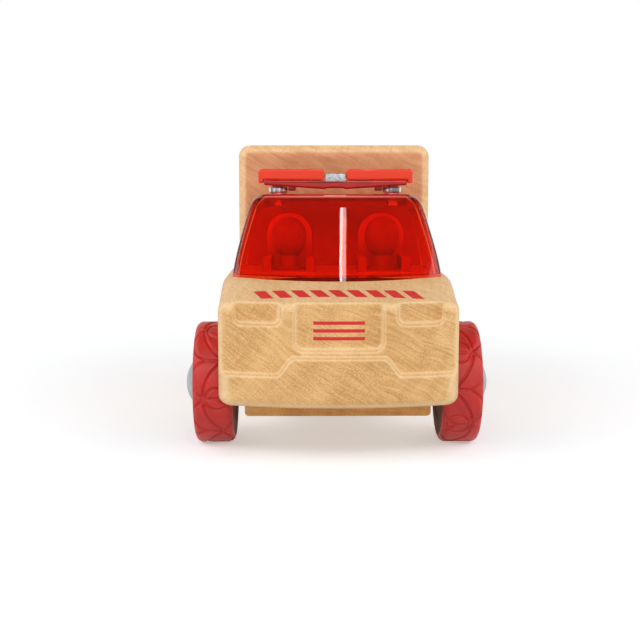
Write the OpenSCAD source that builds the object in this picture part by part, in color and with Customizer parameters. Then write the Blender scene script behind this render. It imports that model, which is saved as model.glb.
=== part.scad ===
// Toy ambulance: routed wooden body blocks on a wooden chassis plank, a clear red
// lift-off cab canopy, a pull-off light bar and four free-running rubber-tyred wheels.
// Millimetres. +Z is up, the nose points along -Y, the ground is z = 0, and the
// origin is under the middle of the toy. Left and right are the driver's (left is +X).

/* [Body] */
// Length from the bumper to the back of the box
body_length = 114; // [108:1:124]
// Width of the front block
body_width = 46.5; // [45:0.5:50]
// Length from the bumper to the front of the box
nose_length = 52; // [50:0.5:56]
// Height of the skirt and bumper above the ground
skirt_height = 11.3; // [10.5:0.1:12]
// Height of the bonnet's front edge above the ground
bonnet_height = 30.7; // [29.5:0.1:32]
// Height of the flat deck under the cab
deck_height = 34.4; // [33.5:0.1:36]
// Slope of the bonnet, in degrees
bonnet_slope = 12; // [10:0.5:14]
// Radius of the curve of the nose, seen from above
nose_radius = 71; // [60:1:90]
// Rounding of the long edges of the front block
block_round = 3; // [2:0.25:4]

/* [Nose] */
// How far the bumper stands proud of the nose panel
bumper_step = 1.5; // [1:0.1:2]
// Height of the bumper at its sides
bumper_side_rise = 5.9; // [5:0.1:7]
// Height of the bumper at its middle
bumper_mid_rise = 9.3; // [8.6:0.1:10]
// Half width of the raised middle of the bumper
bumper_mid_half = 10.4; // [9.6:0.2:12]
// Radius of the bends in the bumper's top edge
bumper_bend = 1.6; // [0.8:0.1:2]
// Depth of the lamp and grille pockets
pocket_depth = 1.5; // [0.8:0.1:2]
// Corner radius of the pockets
pocket_round = 1.6; // [1:0.1:2]
// Width of a headlamp pocket
lamp_w = 9.2; // [8:0.2:9.8]
// Height of a headlamp pocket
lamp_h = 3.8; // [3:0.1:5]
// Distance of a headlamp pocket's middle from the centre line
lamp_offset = 15.7; // [15:0.1:16.4]
// Width of the grille pocket
grille_w = 17.6; // [14:0.2:19]
// Height of the grille pocket
grille_h = 9.1; // [7:0.1:9.4]
// Rounding of the bonnet's front edge
bonnet_round = 1.7; // [1:0.1:2.4]
// Rounding of the bumper's lower edge
bumper_round = 1.2; // [0.6:0.1:2]

/* [Box] */
// Width of the box
box_width = 44; // [42:0.5:46]
// Height of the box's roof above the ground
box_height = 62; // [58:0.5:68]
// Rounding of the box's edges
box_round = 2.6; // [1:0.2:4]
// Width of a tail lamp pocket
tail_w = 7; // [5:0.5:9]
// Height of a tail lamp pocket
tail_h = 10; // [8:0.5:12]
// Distance of a tail lamp pocket's middle from the centre line
tail_offset = 15.6; // [13:0.2:16]
// Height of a tail lamp pocket's middle above the ground
tail_height = 27; // [24:0.5:32]

/* [Chassis] */
// Width of the chassis plank
chassis_width = 37.3; // [36:0.1:38.5]
// Height of the plank's underside above the ground
ground_clearance = 7.2; // [6:0.1:8]
// Thickness of the plank
chassis_thickness = 10; // [9:0.25:11]
// Distance from the bumper to the front of the plank
chassis_setback = 12; // [10:0.5:14]
// Distance from the back of the box to the back of the plank
chassis_tail = 4; // [3:0.5:6]
// Radius of the plank's lower edges
chassis_round = 0.8; // [0.4:0.1:1.5]

/* [Wheels] */
// Diameter of the tyres
wheel_d = 25; // [23:0.5:26]
// Width of the tyres
tyre_width = 8; // [7:0.25:9]
// Depth of rubber on the wheel hub
tyre_depth = 3; // [2.5:0.1:3.5]
// Rounding of the tyre's shoulders
tyre_round = 1.4; // [0.8:0.1:1.8]
// Gap from the plank's side to the tyre
wheel_gap = 2.35; // [2.1:0.05:3]
// Distance from the bumper to the front axle
front_overhang = 22; // [21:0.5:24]
// Distance from the rear axle to the back of the box
rear_overhang = 26; // [23:0.5:28]
// Diameter of the axle rods
axle_d = 3; // [2.5:0.1:3.4]
// Clearance of the wheel arches round the tyres
arch_gap = 1.6; // [1.2:0.1:2]
// Diameter of a hubcap's rim
hubcap_d = 11.6; // [10.5:0.1:12.2]
// How far a hubcap's dome stands proud of the tyre
hubcap_dome = 2.65; // [2:0.05:3]
// Thickness of the washers
washer_t = 1.1; // [0.9:0.05:1.3]
// Thickness of the push nuts
nut_t = 1; // [0.8:0.05:1.2]

/* [Cab] */
// Height of the canopy's roof above the deck
cab_height = 16.4; // [15.5:0.1:18]
// Width of the canopy at its base
cab_width = 42.5; // [41.5:0.1:43.5]
// Width of the canopy at its roof
roof_width = 34.4; // [33:0.2:37]
// Distance from the bumper to the foot of the windscreen
screen_setback = 16; // [15:0.25:18]
// Distance from the bumper to the head of the windscreen
roof_setback = 28.5; // [27:0.25:30]
// Wall thickness of the canopy
cab_wall = 1.5; // [1.2:0.1:1.8]
// Rounding of the canopy's roof edges
roof_round = 2; // [1.8:0.1:3]
// Rounding of the canopy's corner posts
post_round = 1.6; // [1:0.1:2]

/* [Seats] */
// Distance of a seat's middle from the centre line
seat_offset = 10; // [9.6:0.1:10.6]
// Width of a seat
seat_width = 11; // [10.4:0.1:11.6]
// Distance from the bumper to the front of the seats
seat_setback = 28; // [27:0.25:29]
// Depth of a seat from front to back
seat_depth = 15; // [14:0.25:16]
// Height of a seat's back above the deck
seat_back = 12.6; // [11.5:0.1:13]
// Width of a passenger's head
head_w = 7.6; // [6.8:0.1:8]
// Height of a passenger's head
head_h = 8.8; // [8:0.1:9]

/* [Light bar] */
// Length of the light bar over its lenses
bar_length = 33.6; // [32:0.2:35]
// Depth of the light bar from front to back
bar_depth = 7; // [6:0.25:9]
// Distance from the bumper to the middle of the light bar
bar_setback = 40; // [38:0.5:42]
// Length of the silver middle block
bar_middle = 4.6; // [4:0.1:6]
// Height of the lenses above the base plate's ends
lens_h = 2.3; // [2:0.1:3]
// Thickness of a lens's outer lip
lens_lip = 1.1; // [0.8:0.05:1.3]
// Thickness of the base plate at its ends
plate_end = 0.9; // [0.7:0.05:1.2]
// Extra depth of the base plate's keel at its middle
plate_keel = 1.15; // [0.8:0.05:1.3]
// Height of the silver feet
foot_h = 1.85; // [1.7:0.05:2.5]
// Diameter of the silver feet
foot_d = 4.1; // [3.8:0.1:4.6]
// Distance of a foot from the centre line
foot_offset = 12.5; // [12:0.1:12.8]
// Diameter of the foot's plug in the roof
plug_d = 2.4; // [2:0.1:2.8]

/* [Fasteners] */
// Diameter of the screws' shanks
screw_d = 2.8; // [2.4:0.1:3.2]
// Length of the screws
screw_length = 18; // [15:0.5:20]
// Distance of the screws from the centre line
screw_offset = 10; // [8:0.25:12]
// Diameter of the dowels between the block and the box
dowel_d = 4; // [3:0.2:5]
// Length of the dowels
dowel_length = 16; // [12:1:20]
// Distance of the dowels from the centre line
dowel_offset = 12; // [10:0.25:13]

/* [Clearances] */
// Gap round a glued or pressed fit
tight = 0.02; // [0.01:0.01:0.04]
// Gap round a running or pull-off fit
slip = 0.06; // [0.04:0.01:0.1]
// Gap between pieces that lift past each other
free_gap = 0.4; // [0.3:0.05:0.6]

/* [Hidden] */
$fn = 64;
hull_fn = 24;
overcut = 1;

// Places along the toy
front_y = -body_length / 2;
back_y = body_length / 2;
box_y = front_y + nose_length;
screen_y = front_y + screen_setback;
roof_y = front_y + roof_setback;
bar_y = front_y + bar_setback;
front_axle_y = front_y + front_overhang;
rear_axle_y = back_y - rear_overhang;
nose_y = front_y + nose_radius;
chassis_y = front_y + chassis_setback;
chassis_end = back_y - chassis_tail;

// Heights
axle_z = wheel_d / 2;
chassis_top = ground_clearance + chassis_thickness;
panel_r = nose_radius - bumper_step;
roof_z = deck_height + cab_height;
screen_foot_z = bonnet_height + (screen_setback - bumper_step) * tan(bonnet_slope);
block_top = max(deck_height, screen_foot_z);
plate_z = roof_z + foot_h;

// Across the axle, measured from the centre line
chassis_side = chassis_width / 2;
arch_r = wheel_d / 2 + arch_gap;
tyre_in = chassis_side + wheel_gap;
tyre_out = tyre_in + tyre_width;
hub_r = wheel_d / 2 - tyre_depth;
hub_rim = 1.5;
hub_inset = 0.4;
hub_in = tyre_in + tight;
hub_out = tyre_out - hub_inset;
rib_h = 0.6;
rib_w = 2;
boss_wall = 1.8;
boss_r = axle_d / 2 + boss_wall;
end_play = 0.1;
washer_in = chassis_side + end_play;
boss_in = washer_in + washer_t + end_play;
web_t = 5.2;
web_out = boss_in + web_t;
flange_t = 1;
flange_rim = 1.2;
flange_r = wheel_d / 2 - flange_rim;
nut_in = web_out + end_play;
axle_tip = 0.3;
nut_r = boss_r - axle_tip;
axle_end = nut_in + nut_t + axle_tip;
cap_lip = 0.3;
cap_pocket_r = hubcap_d / 2 - cap_lip;
cap_skirt_t = 0.9;
cap_rebate = 0.6;
cap_seat = hub_out - cap_rebate;
dome_r = (pow(hubcap_d / 2, 2) + pow(hubcap_dome + hub_inset, 2)) / (2 * (hubcap_dome + hub_inset));

// Seats and passengers
seat_front = front_y + seat_setback;
seat_end = seat_front + seat_depth;
seat_base = 0.6;
bolster_h = 3.4;
bolster_w = 1.9;
back_t = 3;
spigot_r = 2.2;
spigot_l = 4;
peg_r = 1.2;
peg_l = 3;
passenger_set = 7;
passenger_y = seat_front + passenger_set;
lap_gap = 0.2;
passenger_r = seat_width / 2 - bolster_w - lap_gap;
shoulder_h = 0.5;
neck_r = 2;
neck_h = 1.9;

// Canopy tabs and their slots in the deck
tab_w = 3;
tab_t = 0.9;
tab_l = 2.4;
tab_inset = 0.2;
tab_x = cab_width / 2 - cab_wall / 2 - tab_inset;
tab_front = 1;
tab_rear = 7;
tab_ys = [roof_y - tab_front, box_y - tab_rear];

// Light bar
plate_half = bar_length / 2 - lens_lip - slip;
keel_half = 1.9;
notch_h = 0.4;
plate_sag = 0.4;
pad_rim = 0.5;
pad_r = foot_d / 2 + pad_rim;
pin_r = 0.9;
pin_l = 0.7;
lug_gap = 1.5;
lug_x = foot_offset - foot_d / 2 - lug_gap;
lug_w = 1.4;
lug_d = 3;
lug_drop = 0.9;
plate_rise = 0.45;
plate_end_z = plate_z + plate_rise;
lens_chamfer = 0.6;

// Fasteners
screw_head_r = screw_d;
screw_head_h = screw_head_r - screw_d / 2;
screw_sink = 0.3;
screw_tip = 2;
screw_margin = 4;
screw_rear = 5;
screw_reach = dowel_length / 2 + screw_margin;
screw_ys = [box_y - screw_reach, box_y + screw_reach, chassis_end - screw_rear];
dowel_z = (chassis_top + deck_height) / 2;

WOOD = [0.86, 0.67, 0.42];
WOOD_DARK = [0.76, 0.53, 0.28];
CLEAR_RED = [0.78, 0.06, 0.03, 0.6];
LENS_RED = [0.92, 0.16, 0.06, 0.8];
PLATE_RED = [0.55, 0.08, 0.08];
RUBBER_RED = [0.75, 0.17, 0.15];
SILVER = [0.68, 0.69, 0.7];
STEEL = [0.6, 0.6, 0.62];
DARK_GREY = [0.33, 0.28, 0.25];

CORNERS = [
    ["front_left", front_axle_y, 1],
    ["front_right", front_axle_y, -1],
    ["rear_left", rear_axle_y, 1],
    ["rear_right", rear_axle_y, -1]
];
SIDES = [["left", 1], ["right", -1]];
WHEEL_NODES = [for (kind = ["tyre", "hub", "hubcap", "push_nut", "washer"], c = CORNERS) str(kind, "_", c[0])];
CAB_NODES = [for (kind = ["seat", "passenger", "lightbar_lens", "lightbar_foot"], s = SIDES) str(kind, "_", s[0])];
BODY_NODES = [
    "front_block", "rear_box", "chassis_plank", "chassis_screws", "locating_dowels",
    "front_axle", "rear_axle", "canopy", "lightbar_base", "lightbar_middle"
];

// Flat shapes
module round_rect(w, h, r) {
    square([w - 2 * r, h], center = true);
    square([w, h - 2 * r], center = true);
    for (x = [-1, 1], y = [-1, 1])
        translate([x * (w / 2 - r), y * (h / 2 - r)]) circle(r = r);
}

module band(r_in, r_out, z_in, z_out) {
    translate([r_in, z_in]) square([r_out - r_in, z_out - z_in]);
}

// Placing helpers
// A flat (y, z) shape becomes a prism along X
module along_x(length) {
    rotate([90, 0, 90]) linear_extrude(height = length, center = true) children();
}

// A flat (x, z) shape becomes a prism along Y, from y0 to y1
module along_y(y0, y1) {
    translate([0, y1, 0]) rotate([90, 0, 0]) linear_extrude(height = y1 - y0) children();
}

// A shape turned about Z moves to a wheel, its Z running out from the centre line
module at_wheel(y, side) {
    translate([0, y, axle_z]) mirror([side < 0 ? 1 : 0, 0, 0]) rotate([0, 90, 0]) children();
}

module on_side(side) {
    mirror([side < 0 ? 1 : 0, 0, 0]) children();
}

// Points round part of a circle
function arc(centre, r, from, to, steps = 6) =
    [for (i = [0:steps]) let (a = from + (to - from) * i / steps) centre + r * [cos(a), sin(a)]];

// Section of the nose from its own centre outwards: bumper, panel, bonnet edge and slope
module bonnet_section(gap) {
    edge_z = bonnet_height - bonnet_round * (1 - sin(bonnet_slope)) / cos(bonnet_slope);
    peak_z = bonnet_height + panel_r * tan(bonnet_slope);
    mid_z = skirt_height + bumper_mid_rise;
    polygon(concat(
        [[0, skirt_height]],
        arc([nose_radius - bumper_round, skirt_height + bumper_round], bumper_round, -90, 0),
        [[nose_radius, mid_z + bumper_step]],
        [[panel_r, mid_z + bumper_step]],
        arc([panel_r - bonnet_round, edge_z + gap], bonnet_round, 0, 90 - bonnet_slope),
        [[0, peak_z + gap]]
    ));
}

// Everything below the bonnet and the deck, raised by gap
module deck_mass(gap) {
    intersection() {
        translate([-body_width, front_y - overcut, 0]) {
            cube([2 * body_width, body_length, deck_height + gap]);
            cube([2 * body_width, screen_setback + overcut - free_gap, block_top + gap]);
        }
        translate([0, nose_y, 0]) rotate_extrude($fn = 180) bonnet_section(gap);
    }
}

// Shared cuts for the chassis plank and the wheels
module chassis_channel() {
    translate([-chassis_side - tight, chassis_y - tight, -overcut])
        cube([chassis_width + 2 * tight, chassis_end - chassis_y + 2 * tight, chassis_top + overcut]);
}

module wheel_arches() {
    for (y = [front_axle_y, rear_axle_y], side = [-1, 1])
        at_wheel(y, side) translate([0, 0, chassis_side]) cylinder(r = arch_r, h = body_width);
}

module at_screws() {
    for (y = screw_ys, x = [-screw_offset, screw_offset])
        translate([x, y, ground_clearance + screw_sink]) children();
}

module screw_holes() {
    at_screws() cylinder(d = screw_d + 2 * tight, h = screw_length + slip);
}

module dowels(gap) {
    for (x = [-dowel_offset, dowel_offset])
        translate([x, box_y, dowel_z]) rotate([90, 0, 0])
            cylinder(d = dowel_d + 2 * gap, h = dowel_length + 2 * gap, center = true);
}

// Front block
// Where a corner of radius r touches both the nose's curve and the block's side
function corner_y(r) =
    nose_y - sqrt(pow(nose_radius - r, 2) - pow(body_width / 2 - r, 2));

module nose_plan() {
    half = body_width / 2;
    r = block_round;
    intersection() {
        translate([0, nose_y]) circle(r = nose_radius, $fn = 180);
        union() {
            translate([-half, corner_y(r)]) square([body_width, box_y - corner_y(r)]);
            translate([-half + r, front_y - overcut]) square([body_width - 2 * r, box_y - front_y]);
            for (side = [-1, 1])
                translate([side * (half - r), corner_y(r)]) circle(r = r);
        }
    }
}

// The block's section across, from foot to top
module block_section(foot, top) {
    translate([0, (foot + top) / 2]) round_rect(body_width, top - foot, block_round);
}

// Outline of the panel above the bumper, seen from the front
module panel_outline() {
    half = body_width / 2 + overcut;
    side_z = skirt_height + bumper_side_rise;
    mid_z = skirt_height + bumper_mid_rise;
    top_z = block_top + overcut;
    r = min(bumper_bend, (mid_z - side_z) / 2);
    x = bumper_mid_half;
    flank = concat(
        arc([-x - r, side_z + r], r, -90, 0),
        arc([-x + r, mid_z - r], r, 180, 90)
    );
    other = [for (i = [len(flank) - 1:-1:0]) [-flank[i][0], flank[i][1]]];
    polygon(concat([[-half, top_z], [-half, side_z]], flank, other, [[half, side_z], [half, top_z]]));
}

// A prism from the front that stops at a floor parallel to the curved nose
module nose_cut(depth) {
    difference() {
        along_y(front_y - overcut, front_y + nose_radius / 4) children();
        translate([0, nose_y, -overcut])
            cylinder(r = nose_radius - depth, h = block_top + 4 * overcut, $fn = 180);
    }
}

// A pocket outline that is open at the top, with round lower corners
module notch(w, h, r) {
    translate([0, h / 2]) round_rect(w, h, r);
    translate([-w / 2, r]) square([w, h]);
}

module front_block() {
    floor_depth = bumper_step + pocket_depth;
    grille_z = bonnet_height - grille_h;
    lamp_z = bonnet_height - lamp_h;
    slope_y = front_y + bumper_step;
    color(WOOD)
    difference() {
        intersection() {
            linear_extrude(height = block_top + overcut) nose_plan();
            along_y(front_y - overcut, box_y) block_section(skirt_height, block_top);
            translate([0, slope_y, bonnet_height]) rotate([bonnet_slope, 0, 0])
                along_y(-body_length, body_length)
                    translate([0, -bonnet_height]) block_section(-body_length, bonnet_height);
            deck_mass(0);
        }
        nose_cut(bumper_step) panel_outline();
        for (side = [-1, 1])
            nose_cut(floor_depth) translate([side * lamp_offset, lamp_z]) notch(lamp_w, lamp_h, pocket_round);
        nose_cut(floor_depth) translate([0, grille_z]) notch(grille_w, grille_h, pocket_round);
        chassis_channel();
        wheel_arches();
        screw_holes();
        dowels(tight);
        for (side = [-1, 1])
            translate([side * seat_offset, passenger_y, deck_height - spigot_l - slip])
                cylinder(r = spigot_r + tight, h = spigot_l + slip + overcut);
        for (side = [-1, 1], y = tab_ys)
            translate([side * tab_x, y, deck_height])
                cube([tab_t + 2 * slip, tab_w + 2 * slip, 2 * (tab_l + slip)], center = true);
    }
}

// Rear box
module rear_box() {
    length = back_y - box_y;
    mid_y = (back_y + box_y) / 2;
    mid_z = (box_height + skirt_height) / 2;
    height = box_height - skirt_height;
    color(WOOD)
    difference() {
        intersection() {
            along_y(box_y, back_y) translate([0, mid_z]) round_rect(box_width, height, box_round);
            along_x(box_width) translate([mid_y, mid_z]) round_rect(length, height, box_round);
            translate([0, mid_y, 0]) linear_extrude(height = box_height) round_rect(box_width, length, box_round);
        }
        chassis_channel();
        wheel_arches();
        screw_holes();
        dowels(tight);
        for (side = [-1, 1])
            along_y(back_y - pocket_depth, back_y + overcut)
                translate([side * tail_offset, tail_height]) round_rect(tail_w, tail_h, pocket_round);
    }
}

// Chassis plank
module chassis_plank() {
    mid_z = (ground_clearance + chassis_top) / 2;
    color(WOOD_DARK)
    difference() {
        along_y(chassis_y, chassis_end) union() {
            translate([0, mid_z]) round_rect(chassis_width, chassis_thickness, chassis_round);
            translate([-chassis_side, mid_z]) square([chassis_width, chassis_thickness / 2]);
        }
        for (y = [front_axle_y, rear_axle_y])
            translate([0, y, axle_z]) rotate([0, 90, 0])
                cylinder(d = axle_d + 2 * tight, h = chassis_width + 2 * overcut, center = true);
        screw_holes();
        at_screws() {
            translate([0, 0, -screw_sink - overcut])
                cylinder(r = screw_head_r + tight, h = screw_sink + overcut);
            cylinder(r1 = screw_head_r + tight, r2 = screw_d / 2 + tight, h = screw_head_h);
        }
    }
}

module chassis_screws() {
    shank = screw_length - screw_head_h - screw_tip;
    color(STEEL)
    at_screws() difference() {
        union() {
            cylinder(r1 = screw_head_r, r2 = screw_d / 2, h = screw_head_h);
            translate([0, 0, screw_head_h]) cylinder(d = screw_d, h = shank);
            translate([0, 0, screw_head_h + shank]) cylinder(d1 = screw_d, d2 = screw_d / 4, h = screw_tip);
        }
        for (turn = [0, 90])
            rotate([0, 0, turn]) cube([screw_head_r * 1.3, screw_d / 5, screw_head_h * 1.2], center = true);
    }
}

module locating_dowels() {
    color(WOOD_DARK) dowels(0);
}

// Wheels
module axle(y) {
    color(STEEL)
    translate([0, y, axle_z]) rotate([0, 90, 0]) cylinder(d = axle_d, h = 2 * axle_end, center = true);
}

module tyre(y, side) {
    mid = (tyre_in + tyre_out) / 2;
    depth = tyre_depth - tight;
    color(RUBBER_RED)
    at_wheel(y, side) rotate_extrude($fn = 96) difference() {
        union() {
            translate([wheel_d / 2 - depth / 2, mid]) round_rect(depth, tyre_width, min(tyre_round, depth / 2.05));
            band(hub_r + tight, hub_r + tight + depth / 2, tyre_in, tyre_out);
        }
        band(hub_r, hub_r + rib_h + 2 * tight, mid - rib_w / 2 - tight, mid + rib_w / 2 + tight);
        band(hub_r, flange_r + tight, tyre_in - overcut, hub_in + flange_t + tight);
    }
}

module hub(y, side) {
    mid = (tyre_in + tyre_out) / 2;
    bore = axle_d / 2 + slip;
    color(DARK_GREY)
    at_wheel(y, side) rotate_extrude($fn = 96) difference() {
        union() {
            band(hub_r - hub_rim, hub_r, hub_in, hub_out);
            band(hub_r - hub_rim, flange_r, hub_in, hub_in + flange_t);
            band(hub_r - hub_rim, hub_r + rib_h, mid - rib_w / 2, mid + rib_w / 2);
            band(bore, hub_r - hub_rim / 2, boss_in + 1.6, web_out);
            band(bore, boss_r, boss_in, web_out);
            band(cap_pocket_r + tight, hub_r - hub_rim / 2, web_out - hub_rim, hub_out);
        }
        band(cap_pocket_r, hubcap_d / 2 + tight, cap_seat - tight, hub_out + overcut);
    }
}

module hubcap(y, side) {
    dome_z = hub_out - (dome_r - hubcap_dome - hub_inset);
    color(SILVER)
    at_wheel(y, side) rotate_extrude($fn = 96) {
        intersection() {
            translate([0, dome_z]) circle(r = dome_r, $fn = 96);
            band(0, hubcap_d / 2, hub_out, hub_out + hub_inset + hubcap_dome + overcut);
        }
        band(0, hubcap_d / 2, cap_seat, hub_out);
        band(cap_pocket_r - cap_skirt_t, cap_pocket_r, web_out + end_play, cap_seat);
    }
}

module push_nut(y, side) {
    color(STEEL)
    at_wheel(y, side) rotate_extrude() band(axle_d / 2 + tight, nut_r, nut_in, nut_in + nut_t);
}

module washer(y, side) {
    color(STEEL)
    at_wheel(y, side) rotate_extrude() band(axle_d / 2 + tight, boss_r, washer_in, washer_in + washer_t);
}

// Cab
// The canopy's outer form, drawn in by inset on every side
module canopy_form(inset) {
    base_half = cab_width / 2 - inset - post_round;
    roof_half = roof_width / 2 - inset - roof_round;
    rear_y = box_y - free_gap - inset;
    base_r = nose_radius - post_round;
    base_z = min(screen_foot_z, deck_height) - tab_inset;
    base_cy = screen_y + 1.25 * inset + nose_radius;
    roof_cy = roof_y + inset + nose_radius;
    top_z = roof_z - inset - roof_round;
    hull() {
        for (i = [-4:4]) {
            a = asin(base_half / base_r) * i / 4;
            translate([base_r * sin(a), base_cy - base_r * cos(a), base_z])
                cylinder(r = post_round, h = 0.5, $fn = hull_fn);
            b = asin(roof_half / (nose_radius - roof_round)) * i / 4;
            translate([(nose_radius - roof_round) * sin(b), roof_cy - (nose_radius - roof_round) * cos(b), top_z])
                sphere(r = roof_round, $fn = hull_fn);
        }
        for (side = [-1, 1]) {
            translate([side * (base_half + post_round / 2), rear_y - post_round / 2, base_z])
                cylinder(r = post_round / 2, h = 0.5, $fn = hull_fn);
            translate([side * roof_half, rear_y, top_z])
                rotate([90, 0, 0]) cylinder(r = roof_round, h = 0.5, $fn = hull_fn);
        }
    }
}

module canopy() {
    color(CLEAR_RED)
    difference() {
        union() {
            difference() {
                canopy_form(0);
                canopy_form(cab_wall);
                deck_mass(slip);
            }
            for (side = [-1, 1], y = tab_ys)
                translate([side * tab_x - tab_t / 2, y - tab_w / 2, deck_height - tab_l])
                    cube([tab_t, tab_w, tab_l + cab_wall / 2]);
        }
        for (side = [-1, 1])
            translate([side * foot_offset, bar_y, roof_z - 2 * cab_wall])
                cylinder(d = plug_d + 2 * slip, h = 4 * cab_wall);
    }
}

module seat(side) {
    mid_y = (seat_front + seat_end) / 2;
    back_w = seat_width - bolster_w / 2;
    color(CLEAR_RED)
    on_side(side) translate([seat_offset, 0, deck_height]) difference() {
        union() {
            translate([-seat_width / 2, seat_front, tight])
                cube([seat_width, seat_depth, seat_base - tight]);
            for (edge = [-1, 1])
                translate([edge * (seat_width - bolster_w) / 2, mid_y, bolster_h / 2 + tight])
                    cube([bolster_w, seat_depth, bolster_h], center = true);
            along_y(seat_end - back_t, seat_end) {
                translate([0, seat_back - back_w / 2]) circle(d = back_w);
                translate([-back_w / 2, seat_base / 2]) square([back_w, seat_back - back_w / 2 - seat_base / 2]);
            }
            translate([0, passenger_y, -spigot_l]) cylinder(r = spigot_r, h = spigot_l + seat_base);
        }
        translate([0, passenger_y, seat_base - peg_l - slip]) cylinder(r = peg_r + tight, h = peg_l + 2 * overcut);
    }
}

module passenger(side) {
    head_z = shoulder_h + neck_h + head_h / 2;
    color(CLEAR_RED)
    on_side(side) translate([seat_offset, passenger_y, deck_height + seat_base + tight])
        rotate_extrude() {
            polygon([for (a = [-90:7.5:90]) [head_w / 2 * cos(a), head_z + head_h / 2 * sin(a)]]);
            band(0, passenger_r, 0, shoulder_h);
            band(0, neck_r, 0, shoulder_h + neck_h + head_h / 4);
            band(0, peg_r, -peg_l, shoulder_h);
        }
}

// Light bar
function plate_top(x) = plate_end_z + plate_end - plate_sag * (1 - x / plate_half);

module bar_prism() {
    along_y(bar_y - bar_depth / 2, bar_y + bar_depth / 2) children();
}

module lightbar_base() {
    keel_z = plate_end_z - plate_keel;
    color(PLATE_RED)
    difference() {
        union() {
            bar_prism() polygon([
                [-plate_half, plate_end_z], [-keel_half, keel_z], [-keel_half, keel_z + notch_h],
                [keel_half, keel_z + notch_h], [keel_half, keel_z], [plate_half, plate_end_z],
                [plate_half, plate_top(plate_half)], [0, plate_top(0)], [-plate_half, plate_top(plate_half)]
            ]);
            for (side = [-1, 1]) {
                translate([side * foot_offset, bar_y, plate_z]) cylinder(r = pad_r, h = plate_end);
                translate([side * lug_x - lug_w / 2, bar_y - lug_d / 2, plate_z - lug_drop])
                    cube([lug_w, lug_d, lug_drop + plate_end]);
            }
        }
        for (side = [-1, 1])
            translate([side * foot_offset, bar_y, plate_z - overcut])
                cylinder(r = pin_r + tight, h = pin_l + slip + overcut);
    }
}

module lightbar_lens(side) {
    x_in = bar_middle / 2 + slip;
    x_lip = plate_half + slip;
    x_out = bar_length / 2;
    lip_z = plate_end_z + plate_end / 3;
    top_z = plate_top(plate_half) + lens_h;
    color(LENS_RED)
    on_side(side) intersection() {
        bar_prism() polygon([
            [x_in, plate_top(x_in) + tight], [x_lip, plate_top(x_lip) + tight], [x_lip, lip_z], [x_out, lip_z],
            [x_out, top_z - lens_chamfer], [x_out - lens_chamfer, top_z], [x_in, top_z]
        ]);
        along_x(4 * bar_length) translate([bar_y, lip_z])
            round_rect(bar_depth, 2 * (top_z - lip_z), min(lens_chamfer, bar_depth / 3));
    }
}

module lightbar_middle() {
    x = bar_middle / 2 - slip;
    top_z = plate_top(plate_half) + lens_h * 0.6;
    color(SILVER)
    bar_prism() polygon([
        [-x, plate_top(x) + tight], [0, plate_top(0) + tight], [x, plate_top(x) + tight], [x, top_z], [-x, top_z]
    ]);
}

module lightbar_foot(side) {
    color(SILVER)
    translate([side * foot_offset, bar_y, roof_z + tight]) {
        cylinder(d = foot_d, h = foot_h - 2 * tight);
        translate([0, 0, -cab_wall - 2 * tight]) cylinder(d = plug_d, h = cab_wall + foot_h);
        cylinder(r = pin_r, h = foot_h + pin_l);
    }
}

front_block();
rear_box();
chassis_plank();
chassis_screws();
locating_dowels();
axle(front_axle_y);  // front_axle
axle(rear_axle_y);  // rear_axle
canopy();
lightbar_base();
lightbar_middle();
for (c = CORNERS) {
    tyre(c[1], c[2]);
    hub(c[1], c[2]);
    hubcap(c[1], c[2]);
    push_nut(c[1], c[2]);
    washer(c[1], c[2]);
}
for (s = SIDES) {
    seat(s[1]);
    passenger(s[1]);
    lightbar_lens(s[1]);
    lightbar_foot(s[1]);
}
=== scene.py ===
import math

import bmesh
import bpy
import numpy as np
from mathutils import Matrix, Vector


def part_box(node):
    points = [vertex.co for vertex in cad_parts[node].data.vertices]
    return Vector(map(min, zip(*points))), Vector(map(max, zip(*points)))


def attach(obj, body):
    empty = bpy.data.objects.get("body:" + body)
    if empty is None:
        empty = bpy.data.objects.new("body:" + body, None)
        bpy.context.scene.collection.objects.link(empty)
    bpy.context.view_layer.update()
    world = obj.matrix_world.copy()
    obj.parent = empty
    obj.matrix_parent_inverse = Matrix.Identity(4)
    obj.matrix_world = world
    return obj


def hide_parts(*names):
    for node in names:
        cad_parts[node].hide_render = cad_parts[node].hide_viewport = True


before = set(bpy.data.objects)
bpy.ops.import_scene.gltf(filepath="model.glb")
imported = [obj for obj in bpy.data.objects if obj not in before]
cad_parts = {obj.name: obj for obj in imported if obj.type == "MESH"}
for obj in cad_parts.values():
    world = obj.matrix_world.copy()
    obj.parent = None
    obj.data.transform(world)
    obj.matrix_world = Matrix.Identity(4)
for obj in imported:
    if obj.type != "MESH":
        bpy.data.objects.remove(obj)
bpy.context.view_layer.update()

# Sizes are in millimetres until a mesh is made. The nose points along -Y, and +X is the driver's left.
MM = 0.001
HANDS = (("left", 1), ("right", -1))

# Wooden body. The seats stand on the CAD deck, a little below the deck that shows
BOX_Y, BACK_Y = -5.0, 57.0
SKIRT_Z, DECK_Z, BONNET_Z, BOX_TOP = 11.3, 34.8, 30.7, 62.0
CAD_DECK_Z = 34.4
BLOCK_HALF, BOX_HALF, PLANK_HALF = 23.45, 22.0, 18.65
PLANK_Y, PLANK_END, PLANK_TOP = -45.0, 53.0, 17.2
PLANK_SPARE = 0.02
NOSE_R, NOSE_Y = 71.0, 14.0
PANEL_R = NOSE_R - 1.5
SLOPE = math.tan(math.radians(12.0))
NOSE_DROP, DROP_Y, DROP_RUN = 0.45, -42.0, 8.0
BUMPER_Z, STEP_RISE, STEP_OUT, STEP_RUN = 17.2, 3.4, 12.15, 3.5
BOX_EDGE = 2.7

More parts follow.
